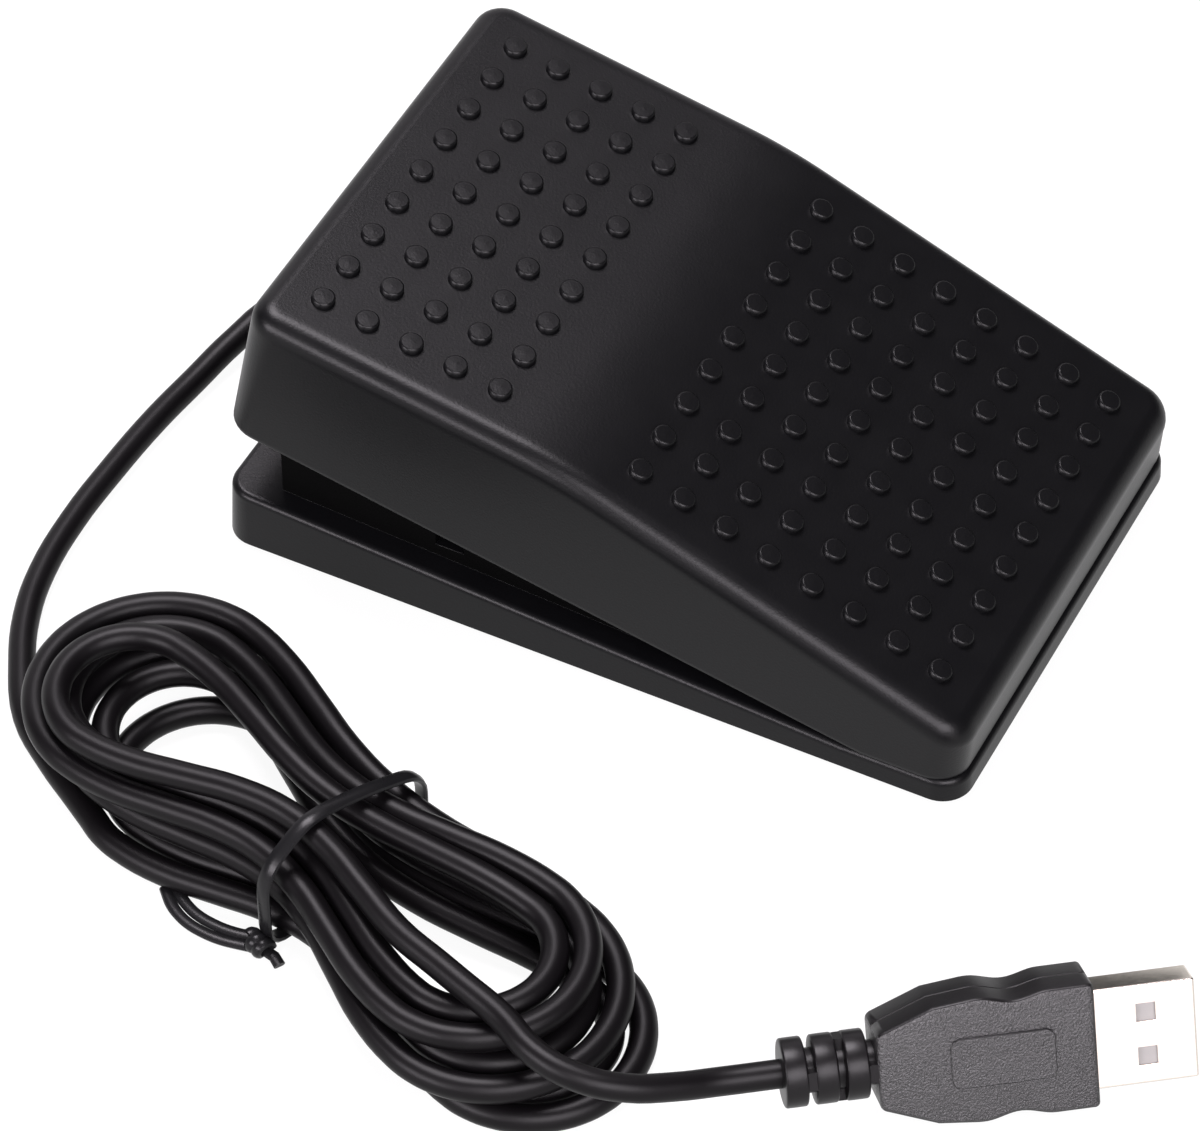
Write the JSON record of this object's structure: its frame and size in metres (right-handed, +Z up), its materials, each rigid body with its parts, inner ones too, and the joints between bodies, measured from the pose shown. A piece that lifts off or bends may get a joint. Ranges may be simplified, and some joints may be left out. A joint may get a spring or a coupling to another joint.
{
  "type": "foot pedal switch",
  "caption": "Wedge-shaped foot pedal with a sprung, studded treadle over a low base, a snap switch inside, and a cord folded to a tied hank that ends in a flat plug.",
  "frame": {"origin": "on the floor, under the middle of the base", "axes": "+X across the pedal, +Y from the low toe end to the high end where the cord leaves, +Z up"},
  "size_m": [0.1322, 0.1604, 0.0414],
  "materials": {
    "satin_black_plastic": "satin, finely textured",
    "black_plastic": "matte",
    "foot_rubber": "matte",
    "spring_steel": "bright",
    "board_laminate": "solder-masked laminate",
    "chip_plastic": "matte",
    "crystal_can": "bright can",
    "chip_ceramic": "matte",
    "header_plastic": "moulded",
    "wire_insulation": "smooth",
    "cord_jacket": "smooth semi-gloss",
    "switch_plastic": "moulded",
    "terminal_brass": "tinned",
    "plunger_plastic": "moulded",
    "tie_vinyl": "smooth vinyl",
    "plug_plastic": "finely textured",
    "nickel_plate": "bright nickel",
    "tongue_plastic": "moulded",
    "contact_gold": "gold flash"
  },
  "bodies": {
    "base": {"base_tray": "satin_black_plastic", "bottom_plate": "black_plastic", "plate_screws": "spring_steel", "rubber_feet": "foot_rubber", "hinge_pin": "spring_steel", "pin_clips": "spring_steel", "return_springs": "spring_steel", "circuit_board": "board_laminate", "board_screws": "spring_steel", "controller_chip": "chip_plastic", "clock_crystal": "crystal_can", "board_parts": "chip_ceramic", "wire_header": "header_plastic", "inner_wires": "wire_insulation", "inner_cable": "cord_jacket", "cable_grommet": "cord_jacket", "switch_case": "switch_plastic", "switch_terminals": "terminal_brass", "cable_lead": "cord_jacket", "cable_hank": "cord_jacket", "cable_tail": "cord_jacket", "hank_tie": "tie_vinyl", "plug_grip": "plug_plastic", "plug_shell": "nickel_plate", "plug_tongue": "tongue_plastic", "plug_contacts": "contact_gold"},
    "pedal": {"pedal_cover": "satin_black_plastic"},
    "lever": {"switch_lever": "spring_steel"},
    "plunger": {"switch_plunger": "plunger_plastic"}
  },
  "joints": [
    {"name": "pedal_hinge", "type": "hinge", "parent": "base", "child": "pedal", "pos_m": [0, -0.034, 0.009], "axis": [-1, 0, 0], "range_deg": [0, 7], "stiffness_Nm_per_rad": 1.2, "springref_deg": -22.92, "deforming": ["return_springs"]},
    {"name": "lever_pivot", "type": "hinge", "parent": "base", "child": "lever", "pos_m": [0, -0.013, 0.0146], "axis": [-1, 0, 0], "range_deg": [0, 16.9]},
    {"name": "plunger_slide", "type": "slide", "parent": "base", "child": "plunger", "axis": [0, 0, -1], "range_m": [0, 0.00118]}
  ],
  "couplings": [
    {"joint": "lever_pivot", "follows": "pedal_hinge", "ratio": 2.4},
    {"joint": "plunger_slide", "follows": "pedal_hinge", "m_per_rad": 0.0096}
  ]
}
